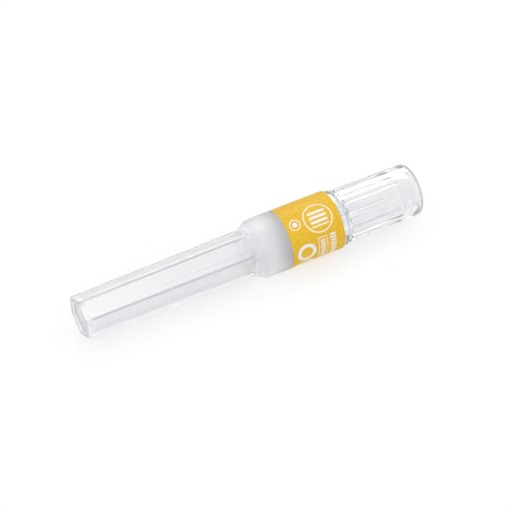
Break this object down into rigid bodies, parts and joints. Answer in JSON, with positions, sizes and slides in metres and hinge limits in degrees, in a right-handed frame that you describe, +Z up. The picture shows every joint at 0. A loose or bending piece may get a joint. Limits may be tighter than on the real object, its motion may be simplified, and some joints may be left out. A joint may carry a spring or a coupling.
{
  "type": "cased dental needle",
  "caption": "Double-ended needle in a plastic hub, closed in two clear guards: a long six-sided one with a round labelled collar, and a short fluted one.",
  "frame": {"origin": "under the middle of the closed case, on the surface that its collar lies on", "axes": "+X along the case from the long guard's closed tip towards the short guard, +Z up, +Y across the case"},
  "size_m": [0.0726, 0.012, 0.012],
  "materials": {
    "clear_plastic": "clear moulded plastic, frosted at the collar",
    "label_film": "printed film, slight sheen",
    "hub_plastic": "milky translucent moulded plastic",
    "needle_steel": "drawn and electropolished stainless steel",
    "adhesive": "cured clear adhesive"
  },
  "bodies": {
    "needle": {"hub": "hub_plastic", "cannula": "needle_steel", "adhesive_bead": "adhesive"},
    "front_guard": {"front_cap": "clear_plastic", "label": "label_film"},
    "rear_guard": {"rear_cap": "clear_plastic"}
  },
  "joints": [
    {"name": "front_guard_pull", "type": "slide", "parent": "needle", "child": "front_guard", "axis": [-1, 0, 0], "range_m": [0, 0.04]},
    {"name": "rear_guard_pull", "type": "slide", "parent": "needle", "child": "rear_guard", "axis": [1, 0, 0], "range_m": [0, 0.02]}
  ]
}
